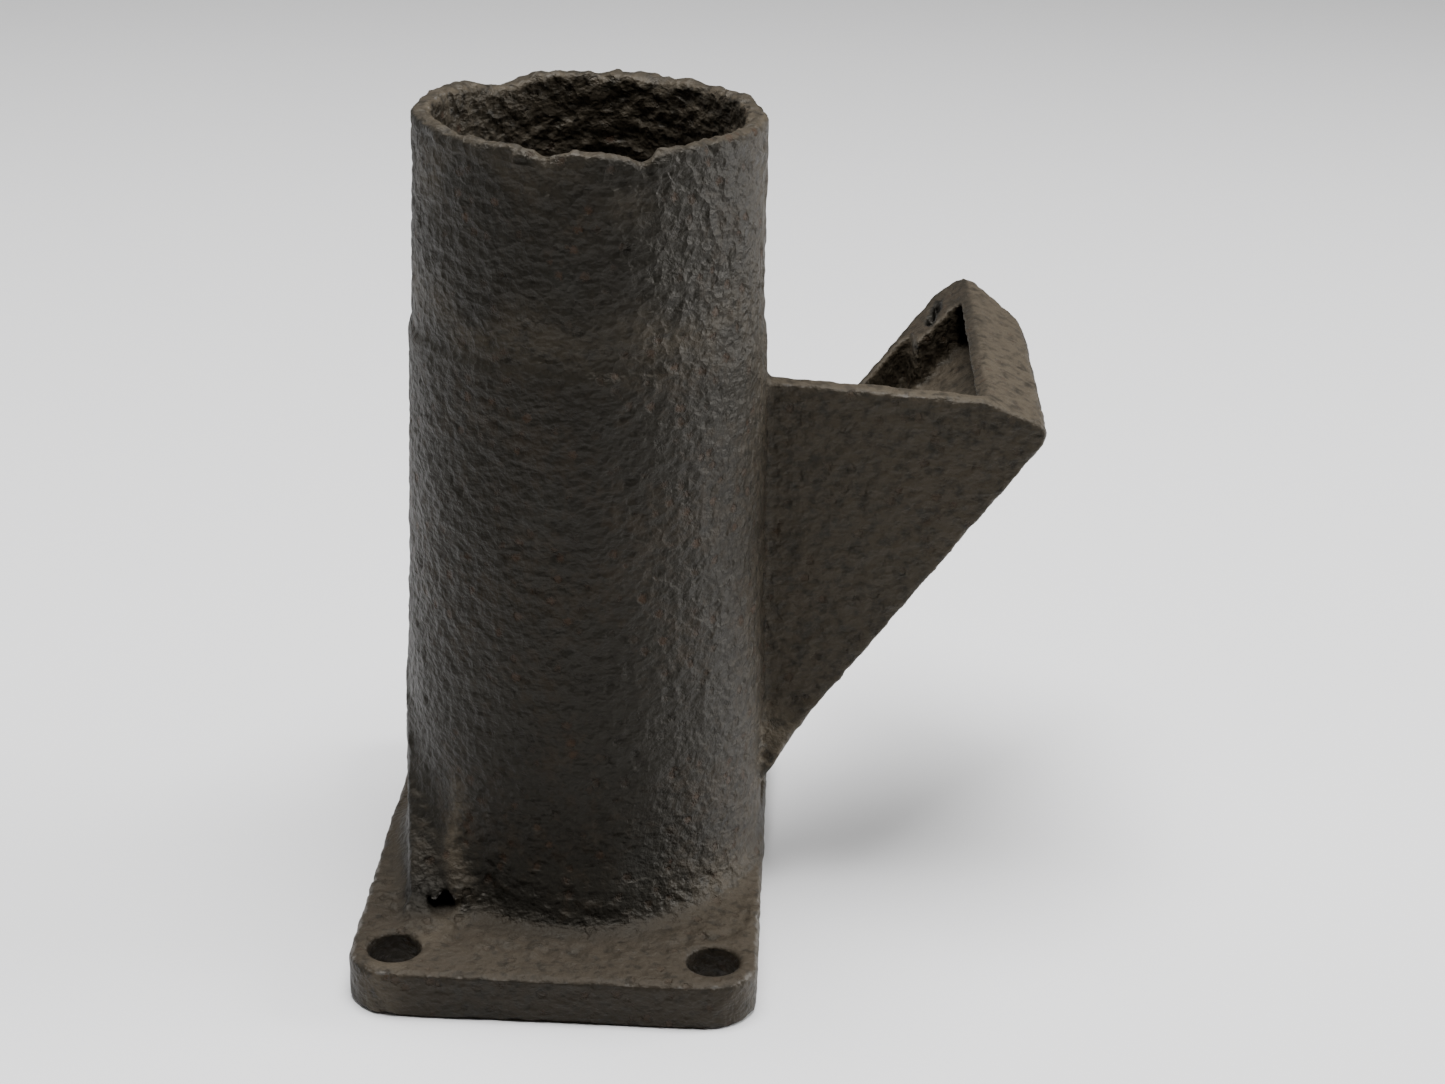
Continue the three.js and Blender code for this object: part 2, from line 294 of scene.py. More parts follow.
def ribbed_pipe(x, y, z):
    """The pipe with the low rib that slopes from its left side down towards the front left bolt hole."""
    run = (RIB_FOOT[0] - RIB_BACK[0], RIB_FOOT[1] - RIB_BACK[1])
    left_face = RIB_BACK[0] + (y - RIB_BACK[1]) * run[0] / run[1]
    slope = (z - FLANGE_TOP - (y - RIB_FOOT[1])) / math.sqrt(2)
    ragged = 0.6 * np.sin(x * 1.4)
    thickness = RIB_THICKNESS + RIB_FILLING * smoothstep(13.2, 17.8, z + ragged)
    rib = meet(left_face - x, x - left_face - thickness, 1.2)
    rib = np.maximum(meet(rib, slope, 1.5), y - RIB_BACK[1])
    pipe = pipe_shape(x, y, z)
    beside_rib = join(pipe, left_face - x, 1.5)          # nothing swells out to the left of the rib
    return np.maximum(join(pipe, rib, 7), beside_rib)


def base_shape(x, y, z):
    """Flange and pipe with the fillet between them, kept inside the flange's outline."""
    angle = np.degrees(np.arctan2(y, x))
    fillet = FOOT_FILLET - 3.5 * bell(angle, -137, 12) - 2.0 * bell(angle, FRONT_ANGLE, FRONT_SPREAD)
    body = join(flange_shape(x, y, z), ribbed_pipe(x, y, z), fillet)
    return np.maximum(np.maximum(body, outline_of_flange(x, y)), -z)


def tray_plan(x, y):
    """Plan of the arm behind its web: the rear wall's outer line, the far end and its cut corner."""
    side = half_plane(x, y, WALL_FAR, WALL_NEAR)
    far_end = meet(side, y - ARM_BACK + 0.4, 1.0)
    corner = half_plane(x, y, FAR_CUT_FRONT, FAR_CUT_BACK)
    return meet(far_end, meet(corner, x - NOSE[0], FAR_CORNER), 1.2)


def above_floor(x, z):
    """Distance above the tray's floor, which is parallel to its rim."""
    return (z - CREST[1] + (CREST[0] - x) * RIM_SLOPE + TRAY_DEPTH) / math.hypot(1, RIM_SLOPE)


def pocket_shape(x, y, z):
    """The open tray between the web, the pad and the rear wall, with its solid far corner left out."""
    pad_inner = -half_plane(x, z, CREST, NOSE) + PAD_THICKNESS
    wall_inner = half_plane(x, y, WALL_FAR, WALL_NEAR) + WALL_THICKNESS
    # the solid corner's two inner faces, each by the direction it faces in plan
    wall_side = (x - BLOCK_CORNER[0]) * 0.98 + (y - BLOCK_CORNER[1]) * 0.2
    pad_side = (y - BLOCK_FRONT[1]) * 0.66 - (x - BLOCK_FRONT[0]) * 0.75
    ragged = 0.5 * np.sin(x * 1.3 + y * 0.5 + z * 0.1)
    block = join(wall_side, pad_side, 2.5) + ragged
    pocket = meet(-above_floor(x, z), pad_inner, 4)
    pocket = meet(pocket, wall_inner, 3)
    pocket = meet(pocket, WEB_THICKNESS - y, 4)
    far_wall = half_plane(x, y, FAR_CUT_FRONT, FAR_CUT_BACK) + FAR_WALL_THICKNESS
    return meet(meet(pocket, far_wall, 1), block, 3)


def casting_voids(x, y, z):
    """The two-lobed shrinkage void in the arm's far corner."""
    lobes = []
    for (mx, my, mz), (rx, ry, rz) in VOIDS:
        lobe = np.sqrt(((x - mx) / rx) ** 2 + ((y - my) / ry) ** 2 + ((z - mz) / rz) ** 2)
        lobes.append((lobe - 1) * 1.2)
    return join(lobes[0], lobes[1], 0.6)


def arm_shape(x, y, z):
    """The triangular web, the tray behind it and the toe in front of the web's lowest end."""
    underside = half_plane(x, z, ROOT, NOSE)
    pad_face = -half_plane(x, z, CREST, NOSE)
    rim = above_floor(x, z) - TRAY_DEPTH / math.hypot(1, RIM_SLOPE)
    web_top = (z - CREST[1] - (x - CREST[0]) * WEB_TOP_SLOPE) / math.hypot(1, WEB_TOP_SLOPE)
    wedge = meet(underside - 0.3, pad_face - 0.2, NOSE_ROUNDING)
    web = meet(wedge, web_top - 0.4, 0.7)
    web = meet(web, np.abs(y - WEB_THICKNESS / 2) - WEB_THICKNESS / 2, 0.9)
    tray = meet(meet(wedge, rim - 0.2, 0.7), -above_floor(x, z) - PLATE_THICKNESS, 1.5)
    tray = meet(meet(tray, tray_plan(x, y), 1.2), -y, 0.9)
    tray = cut(tray, pocket_shape(x, y, z), 0.8)
    tray = cut(tray, casting_voids(x, y, z), 0.5)
    arm = np.minimum(web, tray)
    slope = z - TOE_START[1] + TOE_FALL * (x - TOE_START[0]) - TOE_SPREAD * y
    slope = slope / math.sqrt(1 + TOE_FALL**2 + TOE_SPREAD**2)
    toe = meet(meet(slope, TOE_FRONT - y, 1), meet(underside - 0.3, y - TOE_BACK, 0.8), 0.8)
    return join(arm, toe, 0.8)


def casting(x, y, z):
    """The whole casting's distance field."""
    arm = np.maximum(arm_shape(x, y, z), ARM_START - x)
    body = join(base_shape(x, y, z), arm, 2.2)
    bore = np.hypot(x, y - BORE_Y) - BORE_RADIUS
    body = cut(body, bore, 1.2)
    return cut(body, bolt_holes(x, y), 0.9)


# ---- meshing ----------------------------------------------------------------------------------
def sample_field():
    """The distance field on a regular grid, slab by slab, and the grid's lowest corner."""
    low, high = cad_box
    low = np.array((low - AXIS) / MM) - 3 * VOXEL
    high = np.array((high - AXIS) / MM) + 3 * VOXEL
    counts = np.ceil((high - low) / VOXEL).astype(int) + 1
    x, y, z = (low[i] + VOXEL * np.arange(counts[i]) for i in range(3))
    field = np.empty(counts, np.float32)
    step = 24
    for start in range(0, counts[2], step):
        slab = z[start:start + step]
        field[:, :, start:start + step] = casting(x[:, None, None], y[None, :, None], slab[None, None, :])
    return field, low


def surface_net(field, low):
    """Dual mesh of the zero surface: one vertex for each crossed cell and a quad for each crossed edge."""
    inside = field < 0
    shape = np.array(field.shape)
    cells = shape - 1
    members, places, quads = [], [], []
    for axis in range(3):
        first = [slice(None)] * 3
        second = [slice(None)] * 3
        first[axis] = slice(0, -1)
        second[axis] = slice(1, None)
        crossed = np.nonzero(inside[tuple(first)] != inside[tuple(second)])
        corner = np.stack(crossed, 1)
        other = corner.copy()
        other[:, axis] += 1
        a = field[tuple(corner.T)].astype(float)
        b = field[tuple(other.T)].astype(float)
        place = corner.astype(float)
        place[:, axis] += a / (a - b)
        u, v = (axis + 1) % 3, (axis + 2) % 3
        ring = []
        for du, dv in ((0, 0), (1, 0), (1, 1), (0, 1)):
            cell = corner.copy()
            cell[:, u] -= du
            cell[:, v] -= dv
            number = (cell[:, 0] * cells[1] + cell[:, 1]) * cells[2] + cell[:, 2]
            ring.append(number)
            members.append(number)
            places.append(place)
        ring = np.stack(ring, 1)
        leaving = a < 0
        ring[~leaving] = ring[~leaving][:, ::-1]
        quads.append(ring)
    members = np.concatenate(members)
    places = np.concatenate(places)
    used, index = np.unique(members, return_inverse=True)
    tally = np.bincount(index)
    vertices = np.stack([np.bincount(index, places[:, i]) / tally for i in range(3)], 1)
    quads = np.searchsorted(used, np.concatenate(quads))
    return low + vertices * VOXEL, quads


def triangles_of(vertices, quads):
    """Each quad split along its shorter diagonal."""
    a, b, c, d = (vertices[quads[:, i]] for i in range(4))
    short = ((a - c) ** 2).sum(1) < ((b - d) ** 2).sum(1)
    one = np.where(short[:, None], quads[:, [0, 1, 2]], quads[:, [0, 1, 3]])
    two = np.where(short[:, None], quads[:, [0, 2, 3]], quads[:, [1, 2, 3]])
    return np.concatenate([one, two])


def vertex_normals(vertices, triangles):
    a, b, c = (vertices[triangles[:, i]] for i in range(3))
    face = np.cross(b - a, c - a)
    normal = np.zeros_like(vertices)
    for i in range(3):
        for j in range(3):
            normal[:, j] += np.bincount(triangles[:, i], face[:, j], len(vertices))
    return normal / np.maximum(np.linalg.norm(normal, axis=1, keepdims=True), 1e-12)


def smoothed(values, triangles, rounds):
    """Each vertex's value averaged with its neighbours', several times over."""
    ends = np.concatenate([triangles[:, [0, 1]], triangles[:, [1, 2]], triangles[:, [2, 0]]])
    count = len(values)
    degree = np.bincount(ends[:, 0], minlength=count) + np.bincount(ends[:, 1], minlength=count)
    for _ in range(rounds):
        total = np.bincount(ends[:, 0], values[ends[:, 1]], count)
        total += np.bincount(ends[:, 1], values[ends[:, 0]], count)
        values = (values + total / degree) / 2
    return values


def curvature(vertices, normals, triangles):
    """Positive on outside edges and negative in hollows, in millimetres of bulge over a few voxels."""
    shift = np.stack([smoothed(vertices[:, i], triangles, 4) for i in range(3)], 1) - vertices
    return -(shift * normals).sum(1)


def cast_roughness(points, normals):
    """How far the sand-cast skin stands out from the plain shape."""
    x, y, z = points.T
    rho = np.hypot(x, y)
    in_bore = (rho < BORE_RADIUS + 1.2) & (z > 2) & (normals[:, 0] * x + normals[:, 1] * y < 0)
    on_pipe = 1 - smoothstep(43, 45, rho)
    broad = 0.24 * noise(points, 15, SEED) + 0.16 * noise(points, 6, SEED + 1)
    fine = 0.20 * noise(points, 2.7, SEED + 2, (1, 1, 0.65)) + 0.13 * noise(points, 1.6, SEED + 3)
    dents = 0.40 * pits(points, 4.2, SEED + 10, 0.5, 0.34) + 0.26 * pits(points, 2.4, SEED + 20, 0.6, 0.42)
    height = broad * (0.35 + 0.65 * on_pipe) + fine - dents * (0.5 + 0.5 * on_pipe)
    scabs = 0.20 * noise(points, 3.4, SEED + 4, (1.3, 1.3, 0.6)) + 0.22 * noise(points, 1.7, SEED + 5)
    height = np.where(in_bore, height + scabs, height)
    near_rim = smoothstep(RIM - 7, RIM - 1, z) * (rho < NEAR_RIM)
    height += near_rim * (0.45 * noise(points, 2.8, SEED + 6) + 0.35 * noise(points, 1.7, SEED + 9))
    fillet = bell(rho, 55, 5) * bell(z, FLANGE_TOP, 2.5) * (y < -25)
    height += fillet * (0.75 * noise(points, 2.2, SEED + 7) + 0.4 * noise(points, 1.5, SEED + 8))
    flat_top = smoothstep(0.4, 0.9, np.abs(normals[:, 2])) * (z < FLANGE_TOP + 2) * (1 - fillet)
    drilled = 1 - smoothstep(0.8, 3.0, bolt_holes(x, y))
    return (height + 0.12) * (1 - np.maximum(0.7 * flat_top, drilled))


def flash_line(points):
    """Bumps of flash left along the mould's parting line, down the arm side of the pipe."""
    x, y, z = points.T
    beads = np.clip(noise(points * (0, 0, 1), 5.5, SEED + 30) + 0.25, 0, 1)
    beside_arm = smoothstep(40, 50, z) * (1 - smoothstep(112, 118, z))
    band = bell(y, -1.5, 1.3) * (x > 36) * (x < 43.5)
    return 0.75 * band * beside_arm * beads


def inside_bore(x, y):
    return np.hypot(x, y - BORE_Y) < BORE_RADIUS + 1


def tan_film_and_painted_light(points, normals):
    """Where pale tan rust has settled: round the shoulder and rim, down the bore, and on the arm. Part of
    it is painted light: the bore lighter towards its mouth, the tray's shaded inside lifted, and the pipe's
    right side lit.
    """
    x, y, z = points.T
    angle = np.degrees(np.arctan2(y, x))
    drift = noise(points, 11, SEED + 50)
    outside = smoothstep(36.5, 37.5, np.hypot(x, y))
    above_shoulder = bell(z, SHOULDER + 7 + 3 * drift, 7) * smoothstep(-0.5, 0.3, drift)
    under_rim = bell(z, RIM - 8, 8) * smoothstep(-0.2, 0.5, drift)
    low = 1 - smoothstep(*FOOT_ZONE, z)
    ridge = bell(angle, RIDGE_ANGLE + 1 + 8 * low, 3.5) * (1 - smoothstep(34, 46, z))
    right_foot = bell(angle, -35, 22) * (1 - smoothstep(13, 30, z))
    toe_height = smoothstep(27, 31, z) * (z < TOE_START[1] + 1)
    toe = 0.45 * smoothstep(40.5, 42, x) * (1 - smoothstep(-2, 1, y)) * toe_height
    # painted light: the bore's wall lighter towards its mouth, in the film's tan
    bore = 0.95 * inside_bore(x, y) * smoothstep(120, 180, z)
    # painted light: the tray's shaded inside lifted, more on its walls than on its floor
    in_pocket = (pocket_shape(x, y, z) < 0.8) * (y > WEB_THICKNESS - 0.5) * (x > 45)
    pocket = in_pocket * (1 - 0.5 * smoothstep(0.2, 0.6, normals[:, 2]))
    # painted light: the pipe's right side, which faces the right lamp, made lighter
    lit_right_side = 0.6 * bell(angle, -5, 20) * smoothstep(14, 26, z)
    rim = 0.5 * smoothstep(0.5, 0.9, normals[:, 2]) * (z > RIM - 6)
    pad_run = (NOSE - CREST) / np.hypot(*(NOSE - CREST))
    on_pad = smoothstep(0.8, 0.95, normals[:, 2] * pad_run[0] - normals[:, 0] * pad_run[1]) * (x > 86)
    web_top = smoothstep(0.6, 0.9, normals[:, 2]) * (y < WEB_THICKNESS) * (x > 41) * (z > 118)
    on_pipe = [0.55 * above_shoulder, 0.5 * under_rim, ridge, 0.8 * right_foot, lit_right_side]
    on_pipe = np.maximum.reduce(on_pipe) * outside
    return np.clip(on_pipe + toe + bore + pocket + rim + 0.85 * on_pad + 0.8 * web_top, 0, 1)


def worn_and_highlit_lines(points):
    """What is knocked bright: the flange's top edge and the web's top edge; on the rough front of the foot
    the bright specks are painted highlights.
    """
    x, y, z = points.T
    flange_line = bell(outline_of_flange(x, y), -0.2, 0.6) * bell(z, FLANGE_TOP - 0.2, 0.6)
    web_top = CREST[1] + (x - CREST[0]) * WEB_TOP_SLOPE
    web_line = bell(y, 0.2, 0.7) * bell(z, web_top, 0.8) * (x > 43) * (x < CREST[0] + 1)
    # painted highlights: bare-iron specks on the rough band round the front of the foot
    highlit_rough_band = bell(np.hypot(x, y), 55.5, 4.0) * (y < -35) * (z < FLANGE_TOP + 4)
    return 0.23 * flange_line + 0.24 * web_line + 0.17 * highlit_rough_band


def rubbed_and_sheen(points):
    """Patches rubbed smooth, with lower roughness and a painted blue-grey sheen: low on the front right,
    and a fainter one on the spigot.
    """
    x, y, z = points.T
    angle = np.degrees(np.arctan2(y, x))
    low_patch = bell(angle, -67, 9) * bell(z, 24, 8)
    high_patch = bell(angle, -58, 14) * bell(z, 163, 12)
    return 0.8 * low_patch + 0.2 * high_patch


def darkened_and_shaded(points):
    """Darkening: in the hollow beside the rib and round the front of the foot, and painted shade lower down
    the bore and inside the voids.
    """
    x, y, z = points.T
    hollow = bell(np.hypot(x - HOLLOW[0], y - HOLLOW[1]), 0, 7.5) * bell(z, FLANGE_TOP + 4, 6)
    front = bell(np.degrees(np.arctan2(y, x)), -90, 32) * bell(np.hypot(x, y), 47.5, 3.5) * (z < 20)
    # painted shade: the bore darker lower down
    bore_shade = 0.15 * inside_bore(x, y) * (1 - smoothstep(110, 160, z))
    # painted shade filling the voids
    voids = casting_voids(x, y, z) < 0.5
    return np.clip(hollow + 0.5 * front + bore_shade + voids, 0, 1)


def make_casting():
    """Vertices, normals, triangles and per-vertex masks of the finished surface."""
    field, low = sample_field()
    vertices, quads = surface_net(field, low)
    triangles = triangles_of(vertices, quads)
    normals = vertex_normals(vertices, triangles)
    # worn edges, and painted highlights on the foot's rough band
    wear_and_highlight = np.maximum(curvature(vertices, normals, triangles), worn_and_highlit_lines(vertices))
    to_hollows = np.minimum(pocket_shape(*vertices.T), casting_voids(*vertices.T))
    wear_and_highlight *= smoothstep(0.6, 2.2, to_hollows)
    lift = cast_roughness(vertices, normals) + flash_line(vertices)
    chipped = np.clip(wear_and_highlight - 0.06, 0, 0.3) * np.clip(noise(vertices, 3.2, SEED + 40) + 0.2, 0, 1)
    chipped *= smoothstep(0.8, 3.0, bolt_holes(vertices[:, 0], vertices[:, 1]))
    moved = vertices + normals * (lift - 2.2 * chipped)[:, None]
    moved[:, 2] = np.where(vertices[:, 2] < 0.6, np.maximum(moved[:, 2], 0), moved[:, 2])
    flat_base = (vertices[:, 2] < 0.45) & (normals[:, 2] < -0.8)
    moved[flat_base, 2] = 0
    return {
        "co": moved,
        "normal": vertex_normals(moved, triangles),
        "wear_and_highlight": wear_and_highlight,
        # tan film with painted light, polish with painted sheen, darkening with painted shade
        "film_and_light": tan_film_and_painted_light(vertices, normals),
        "polish_and_sheen": rubbed_and_sheen(vertices),
        "darkening_and_shade": darkened_and_shaded(vertices),
        "tri": triangles,
    }


# ---- cutting the casting into its features ----------------------------------------------------
def slice_solid(solid, origin, direction):
    """Cuts a closed mesh with a plane, and returns the closed parts behind it and in front of it."""
    direction = np.asarray(direction, float)
    direction /= np.linalg.norm(direction)
    co, tri = solid["co"], solid["tri"]
    height = (co - np.asarray(origin, float)) @ direction
    # no vertex lies right on the plane, or the cut would make crowded vertices around it
    clear = 0.03
    height = np.where(np.abs(height) < clear, np.where(height < 0, -clear, clear), height)
    front = height > 0
    count = front[tri].sum(1)
    split = tri[(count == 1) | (count == 2)]
    lone_front = front[split].sum(1) == 1
    lone = np.argmax(front[split] == lone_front[:, None], axis=1)
    turned = np.take_along_axis(split, (lone[:, None] + np.arange(3)) % 3, axis=1)
    a, b, c = turned.T
    ends = np.sort(np.concatenate([np.stack([a, b], 1), np.stack([a, c], 1)]), axis=1)
    pairs, where = np.unique(ends, axis=0, return_inverse=True)
    where = where.reshape(-1)
    share = (height[pairs[:, 0]] / (height[pairs[:, 0]] - height[pairs[:, 1]]))[:, None]
    between = co[pairs[:, 0]] * (1 - share) + co[pairs[:, 1]] * share
    _, first, merged = np.unique(np.round(between, 3), axis=0, return_index=True, return_inverse=True)
    grown = {}
    for key in ("co", "normal") + TRAITS:
        values = solid[key].reshape(len(co), -1)
        between = values[pairs[first, 0]] * (1 - share[first]) + values[pairs[first, 1]] * share[first]
        grown[key] = np.concatenate([values, np.round(between, 3) if key == "co" else between])
    where = len(co) + merged.reshape(-1)[where]
    ab = where[:len(split)]
    ac = where[len(split):]
    tips = np.stack([a, ab, ac], 1)
    stumps = np.concatenate([np.stack([ab, b, c], 1), np.stack([ab, c, ac], 1)])
    stump_front = np.tile(~lone_front, 2)
    cap = cap_over(grown["co"], np.stack([ab, ac], 1)[ab != ac], direction)
    parts = []
    for is_front in (False, True):
        kept = tri[count == (3 if is_front else 0)]
        pieces = [kept, tips[lone_front == is_front], stumps[stump_front == is_front]]
        pieces.append(cap[:, ::-1] if is_front else cap)
        parts.append(tidy_solid(grown, np.concatenate(pieces)))
    return parts


def cap_over(co, segments, direction):
    """Triangles that fill the closed outlines made by segments, facing along direction."""
    used, where = np.unique(segments, return_inverse=True)
    where = where.reshape(-1, 2)
    across = Vector(direction).orthogonal().normalized()
    along = Vector(direction).cross(across)
    flat = np.stack([co[used] @ np.array(across), co[used] @ np.array(along)], 1)
    whole_hull = 0
    result = delaunay_2d_cdt([Vector(p) for p in flat.tolist()], where.tolist(), [], whole_hull, 1e-9)
    source = [o[0] if o else -1 for o in result[3]]
    faces = [[source[i] for i in face] for face in result[2]]
    faces = np.array(faces_inside([face for face in faces if min(face) >= 0], where.tolist()))
    p, q, r = (flat[faces[:, i]] for i in range(3))
    turn = (q - p)[:, 0] * (r - p)[:, 1] - (q - p)[:, 1] * (r - p)[:, 0]
    faces[turn < 0] = faces[turn < 0][:, ::-1]
    return used[faces]


def faces_inside(faces, outlines):
    """Walks over the triangles from the outer ones inward, and changes side at each outline it crosses."""
    crossings = Counter(tuple(sorted(segment)) for segment in outlines)
    sharing = defaultdict(list)
    for number, (i, j, k) in enumerate(faces):
        for pair in ((i, j), (j, k), (k, i)):
            sharing[tuple(sorted(pair))].append(number)
    inside = {}
    waiting = []
    for pair, numbers in sharing.items():
        if len(numbers) == 1:
            waiting.append((numbers[0], crossings[pair] % 2 == 1))
    while waiting:
        number, is_inside = waiting.pop()
        if number in inside:
            continue
        inside[number] = is_inside
        i, j, k = faces[number]
        for pair in ((i, j), (j, k), (k, i)):
            pair = tuple(sorted(pair))
            for other in sharing[pair]:
                if other not in inside:
                    waiting.append((other, is_inside != (crossings[pair] % 2 == 1)))
    return [face for number, face in enumerate(faces) if inside[number]]


def tidy_solid(grown, triangles):
    """Leaves out triangles that have shrunk to a line, and vertices that no triangle uses."""
    a, b, c = triangles.T
    triangles = triangles[(a != b) & (b != c) & (c != a)]
    used, index = np.unique(triangles, return_inverse=True)
    index = index.reshape(-1, 3)
    solid = {key: values[used] for key, values in grown.items()}
    solid["tri"] = index
    return solid


def features_of(whole):
    """The casting's named features, as closed solids that meet on flat cuts."""
    pad_run = NOSE - CREST
    pad_normal = (-pad_run[1], 0, pad_run[0])
    flange, rest = slice_solid(whole, (0, 0, FLANGE_TOP + CUT_PAST["flange"]), (0, 0, 1))
    pipe, arm = slice_solid(rest, (ARM_CUT, 0, 0), (1, 0, 0))
    foot, upper = slice_solid(pipe, (0, 0, foot_high.z), (0, 0, 1))
    barrel, spigot = slice_solid(upper, (0, 0, SHOULDER), (0, 0, 1))
    web, tray = slice_solid(arm, (0, WEB_THICKNESS + CUT_PAST["web"], 0), (0, 1, 0))
    toe, web = slice_solid(web, (0, 0, toe_high.z - 1), (0, 0, 1))
    pad_drop = (PAD_THICKNESS + CUT_PAST["pad"]) * math.hypot(1, pad_run[1] / pad_run[0])
    pad_cut = (CREST[0], 0, CREST[1] - pad_drop)
    tray, pad = slice_solid(tray, pad_cut, pad_normal)
    floor_cut = (CREST[0], 0, CREST[1] - TRAY_DEPTH + CUT_PAST["floor"])
    floor, side = slice_solid(tray, floor_cut, (-RIM_SLOPE, 0, 1))
    wall, block = slice_solid(side, (0, BLOCK_CUT, 0), (0, 1, 0))
    return {
        "base_flange": flange, "flared_foot": foot, "main_barrel": barrel, "upper_spigot": spigot,
        "arm_web": web, "arm_toe": toe, "arm_end_pad": pad, "arm_floor": floor,
        "arm_rear_wall": wall, "arm_corner_block": block,
    }


def mesh_object(name, solid):
    """A Blender object in metres, with the whole casting's own smooth normals."""
    mesh = bpy.data.meshes.new(name)
    co = solid["co"] * MM + np.array(AXIS)
    tri = solid["tri"]
    mesh.vertices.add(len(co))
    mesh.vertices.foreach_set("co", co.astype(np.float32).ravel())
    mesh.loops.add(tri.size)
    mesh.loops.foreach_set("vertex_index", tri.astype(np.int32).ravel())
    mesh.polygons.add(len(tri))
    mesh.polygons.foreach_set("loop_start", np.arange(0, tri.size, 3, dtype=np.int32))
    mesh.update(calc_edges=True)
    mesh.validate()
    mesh.polygons.foreach_set("use_smooth", np.ones(len(mesh.polygons), bool))
    for key in TRAITS:
        layer = mesh.attributes.new(key, "FLOAT", "POINT")
        layer.data.foreach_set("value", solid[key].astype(np.float32).ravel())
    normal = solid["normal"] / np.maximum(np.linalg.norm(solid["normal"], axis=1, keepdims=True), 1e-9)
    mesh.normals_split_custom_set_from_vertices(normal.tolist())
    piece = bpy.data.objects.new(name, mesh)
    bpy.context.scene.collection.objects.link(piece)
    return piece


# ---- materials --------------------------------------------------------------------------------
class Nodes:
    """A short way to write a node tree."""

    def __init__(self, material):
        material.use_nodes = True
        self.tree = material.node_tree
        self.tree.nodes.clear()

    def add(self, kind, **settings):
        node = self.tree.nodes.new(kind)
        for key, value in settings.items():
            setattr(node, key, value)
        return node

    def link(self, source, target):
        self.tree.links.new(source, target)

    def feed(self, socket, value):
        if isinstance(value, bpy.types.NodeSocket):
            self.link(value, socket)
        else:
            socket.default_value = value

    def math(self, operation, a, b=0.0, clamp=False):
        node = self.add("ShaderNodeMath", operation=operation, use_clamp=clamp)
        self.feed(node.inputs[0], a)
        self.feed(node.inputs[1], b)
        return node.outputs[0]

    def trait(self, name):
        return self.add("ShaderNodeAttribute", attribute_name=name).outputs["Fac"]

    def noise(self, where, size_mm, detail=3.0, roughness=0.55, stretch=None, output="Fac"):
        if stretch:
            mapping = self.add("ShaderNodeMapping")
            self.link(where, mapping.inputs["Vector"])
            mapping.inputs["Scale"].default_value = stretch
            where = mapping.outputs[0]
        node = self.add("ShaderNodeTexNoise")
        self.link(where, node.inputs["Vector"])
        node.inputs["Scale"].default_value = 1 / (size_mm * MM)
        node.inputs["Detail"].default_value = detail
        node.inputs["Roughness"].default_value = roughness
        return node.outputs[output]

    def cells(self, where, size_mm):
        node = self.add("ShaderNodeTexVoronoi")
        self.link(where, node.inputs["Vector"])
        node.inputs["Scale"].default_value = 1 / (size_mm * MM)
        return node.outputs["Distance"]

    def ramp(self, value, low, high):
        node = self.add("ShaderNodeMapRange", interpolation_type="SMOOTHSTEP")
        self.feed(node.inputs["Value"], value)
        node.inputs["From Min"].default_value = low
        node.inputs["From Max"].default_value = high
        return node.outputs[0]

    def mix(self, factor, first, second):
        node = self.add("ShaderNodeMix", data_type="RGBA")
        self.feed(node.inputs[0], factor)
        self.feed(node.inputs[6], first)
        self.feed(node.inputs[7], second)
        return node.outputs[2]


DARK_OXIDE = (0.0058, 0.0051, 0.0034, 1)
BROWN_OXIDE = (0.0126, 0.0093, 0.0056, 1)
RUST = (0.026, 0.0135, 0.0065, 1)
# pale tan: rust film, and painted light in the tray, the upper bore and on the pipe's right side
TAN_FILM_AND_LIGHT = (0.045, 0.0362, 0.0245, 1)
DUST = (0.047, 0.0378, 0.0275, 1)
# blue-grey: random cool patches, and a painted sheen on the rubbed patches
BLUE_GREY_AND_SHEEN = (0.0124, 0.0125, 0.0108, 1)
# dark: painted shade in the creases, down the bore and in the voids, and darkening at the foot's hollows
DARK_AND_SHADE = (0.0045, 0.0040, 0.0030, 1)
# bare iron: worn edges, and painted highlights on the foot's rough band
BARE_IRON_AND_HIGHLIGHT = (0.13, 0.123, 0.114, 1)


